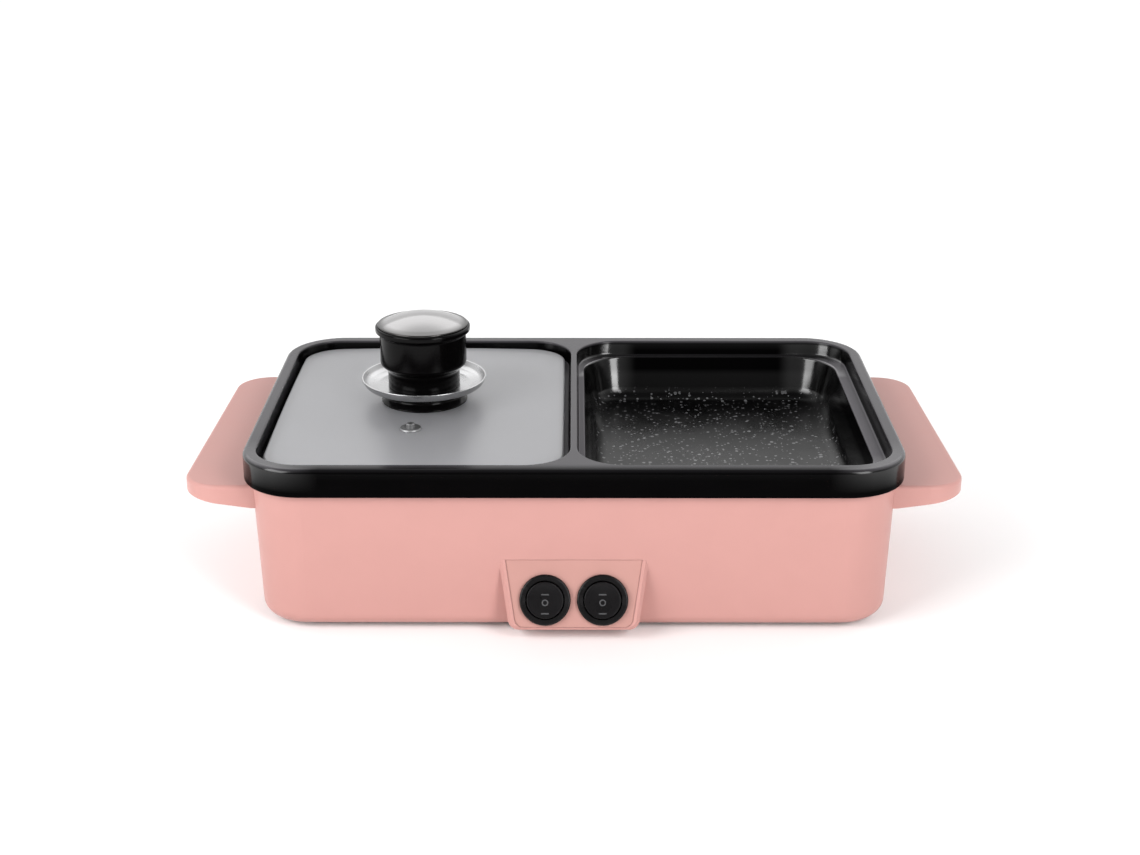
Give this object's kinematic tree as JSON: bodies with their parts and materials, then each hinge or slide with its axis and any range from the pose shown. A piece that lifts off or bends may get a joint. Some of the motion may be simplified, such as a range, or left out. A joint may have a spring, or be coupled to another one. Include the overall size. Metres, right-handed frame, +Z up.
{
  "type": "hot pot grill combo",
  "caption": "Countertop electric hot pot and grill: a deep pot with a lift-off glass lid beside a shallower grill, in one coated tray on a housing with side handles and rocker switches.",
  "frame": {"origin": "on the table, under the middle of the object's box", "axes": "+Z up, +X to the right towards the grill's handle, -Y towards the switches"},
  "size_m": [0.3596, 0.2005, 0.1249],
  "materials": {
    "tray_coating": "die-cast aluminium with a black speckled nonstick coat",
    "housing_plastic": "moulded pink plastic with a soft sheen",
    "panel_plastic": "moulded pink plastic with a soft sheen",
    "switch_plastic": "moulded black, satin",
    "rocker_plastic": "moulded black, glossy",
    "terminal_brass": "stamped, slightly dull",
    "element_steel": "sheathed tube, heat tinted",
    "bead_ceramic": "matt steatite",
    "sheet_steel": "zinc plated sheet",
    "thermostat_body": "matt steatite",
    "screw_steel": "zinc plated",
    "base_plastic": "moulded pink plastic, matt",
    "foot_rubber": "matt",
    "inlet_plastic": "moulded black, matt",
    "block_plastic": "moulded off-white",
    "lead_brown": "silicone sleeve",
    "lead_blue": "silicone sleeve",
    "lead_green": "silicone sleeve",
    "lead_white": "silicone sleeve",
    "lid_glass": "tempered glass, polished edge",
    "trim_steel": "polished stainless steel",
    "knob_black": "moulded black, glossy",
    "cap_steel": "satin stainless steel",
    "seal_rubber": "silicone"
  },
  "bodies": {
    "base_unit": {"tray": "tray_coating", "housing": "housing_plastic", "switch_panel": "panel_plastic", "switch_frame_left": "switch_plastic", "switch_frame_right": "switch_plastic", "switch_tabs_left": "terminal_brass", "switch_tabs_right": "terminal_brass", "pot_heater": "element_steel", "grill_heater": "element_steel", "pot_heater_beads": "bead_ceramic", "grill_heater_beads": "bead_ceramic", "pot_heater_clamps": "sheet_steel", "grill_heater_clamps": "sheet_steel", "pot_thermostat": "thermostat_body", "grill_thermostat": "thermostat_body", "heater_pins": "terminal_brass", "thermostat_tabs": "terminal_brass", "thermostat_straps": "sheet_steel", "clamp_screws": "screw_steel", "thermostat_screws": "screw_steel", "heat_shield": "sheet_steel", "tray_pillars": "screw_steel", "pillar_washers": "screw_steel", "pillar_screws": "screw_steel", "earth_lug": "terminal_brass", "base_cover": "base_plastic", "base_screws": "screw_steel", "foot_front_left": "foot_rubber", "foot_front_right": "foot_rubber", "foot_rear_left": "foot_rubber", "foot_rear_right": "foot_rubber", "power_inlet": "inlet_plastic", "inlet_pins": "terminal_brass", "terminal_block": "block_plastic", "terminal_screws": "screw_steel", "live_lead": "lead_brown", "neutral_lead": "lead_blue", "earth_lead": "lead_green", "switch_feed_left": "lead_brown", "switch_feed_right": "lead_brown", "pot_lead": "lead_white", "grill_lead": "lead_white", "pot_return": "lead_blue", "grill_return": "lead_blue"},
    "lid": {"lid_glass": "lid_glass", "vent_eyelet": "trim_steel", "knob_base": "knob_black", "knob_guard": "trim_steel", "knob_body": "knob_black", "knob_insert": "terminal_brass", "knob_cap": "cap_steel", "knob_screw": "screw_steel", "knob_seal": "seal_rubber", "knob_washer": "seal_rubber"},
    "left_rocker": {"rocker_left": "rocker_plastic"},
    "right_rocker": {"rocker_right": "rocker_plastic"}
  },
  "joints": [
    {"name": "lid_lift", "type": "slide", "parent": "base_unit", "child": "lid", "axis": [0, 0, 1], "range_m": [0, 0.12]},
    {"name": "left_rocker_tip", "type": "hinge", "parent": "base_unit", "child": "left_rocker", "pos_m": [-0.01305, -0.09374, 0.01906], "axis": [1, 0, 0], "range_deg": [-10, 10]},
    {"name": "right_rocker_tip", "type": "hinge", "parent": "base_unit", "child": "right_rocker", "pos_m": [0.01305, -0.09374, 0.01906], "axis": [1, 0, 0], "range_deg": [-10, 10]}
  ]
}
